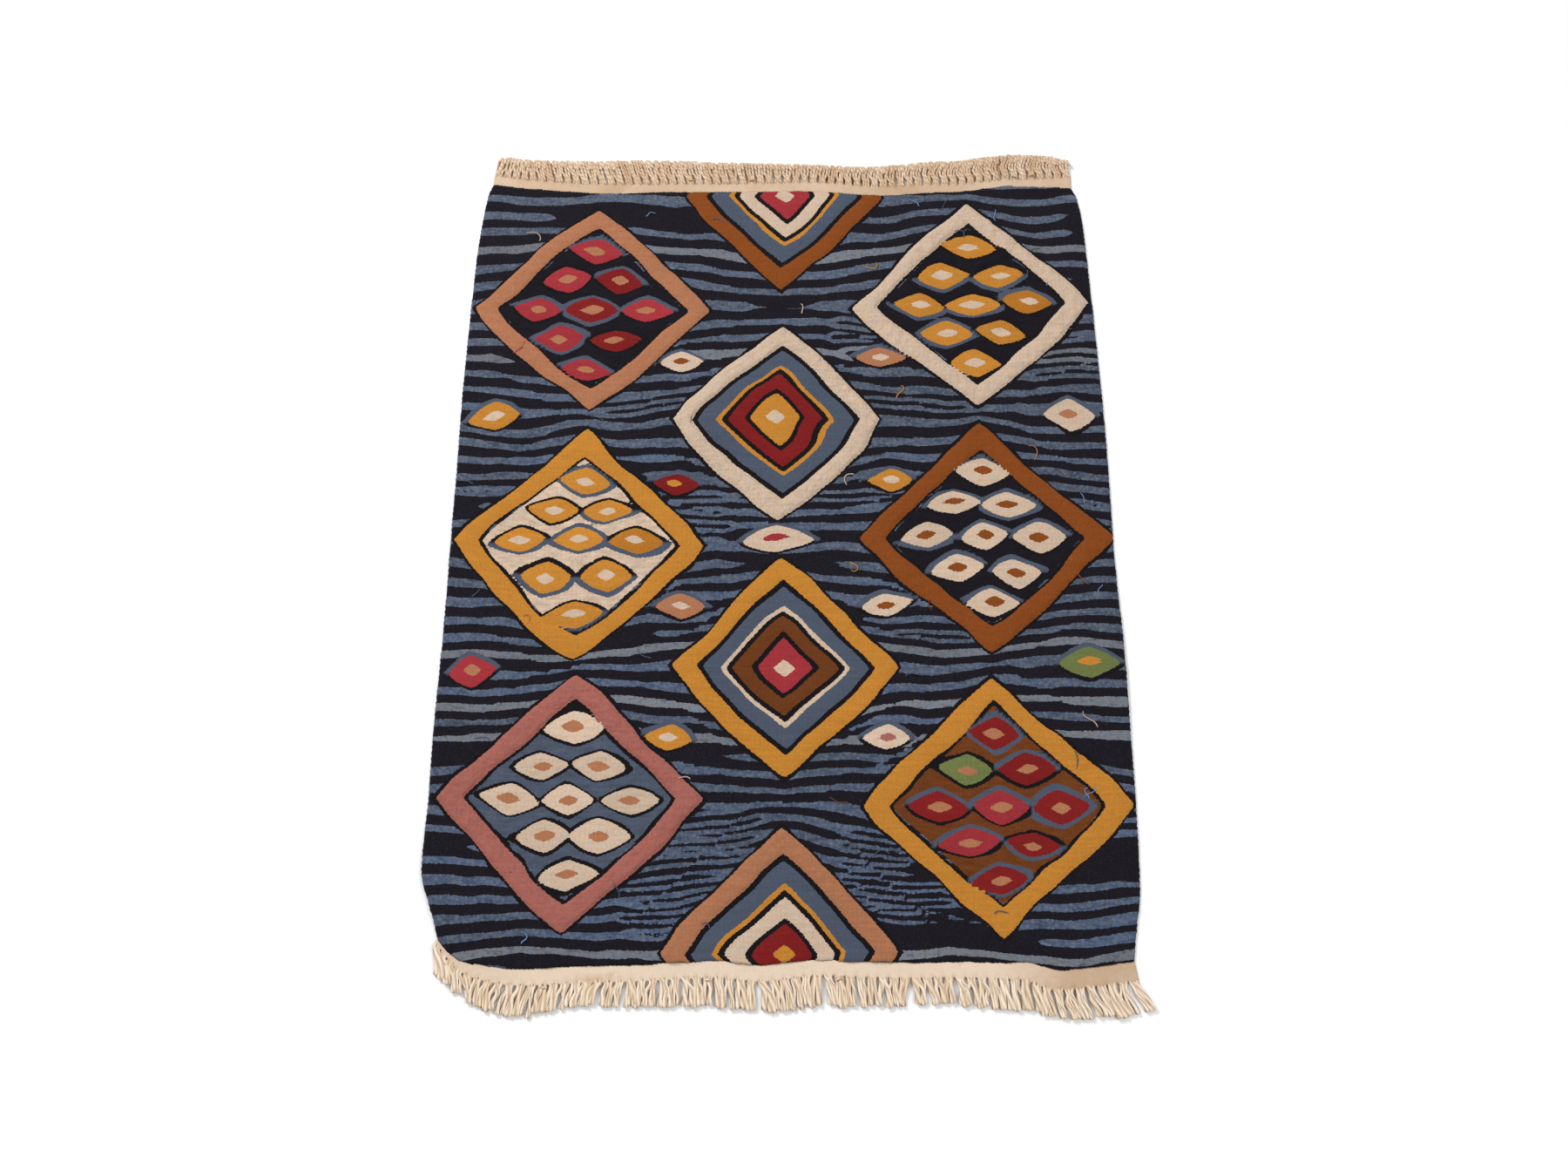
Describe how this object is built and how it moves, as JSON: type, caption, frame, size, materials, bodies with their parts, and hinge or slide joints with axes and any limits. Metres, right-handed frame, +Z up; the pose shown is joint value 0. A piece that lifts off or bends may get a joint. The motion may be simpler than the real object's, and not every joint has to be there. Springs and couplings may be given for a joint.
{
  "type": "wool rug",
  "caption": "Small flat-woven wool rug lying flat: dark field with blue weft streaks and diamond motifs, plain cotton headings and a knotted fringe along each end.",
  "frame": {"origin": "centre of the footprint, on the floor", "axes": "+X across the rug, +Y along the warp towards the far end, +Z up"},
  "size_m": [0.665, 0.9304, 0.0042],
  "materials": {
    "wool_field": "matt weft-faced wool in navy, slate blue, gold, ivory, red, rust and green yarns",
    "cotton_heading": "matt plain-woven cream cotton",
    "cotton_fringe": "matt plied cream cotton cord"
  },
  "bodies": {
    "root": {"rug_field": "wool_field", "heading_near": "cotton_heading", "heading_far": "cotton_heading", "fringe_near": "cotton_fringe", "fringe_far": "cotton_fringe"}
  },
  "joints": []
}
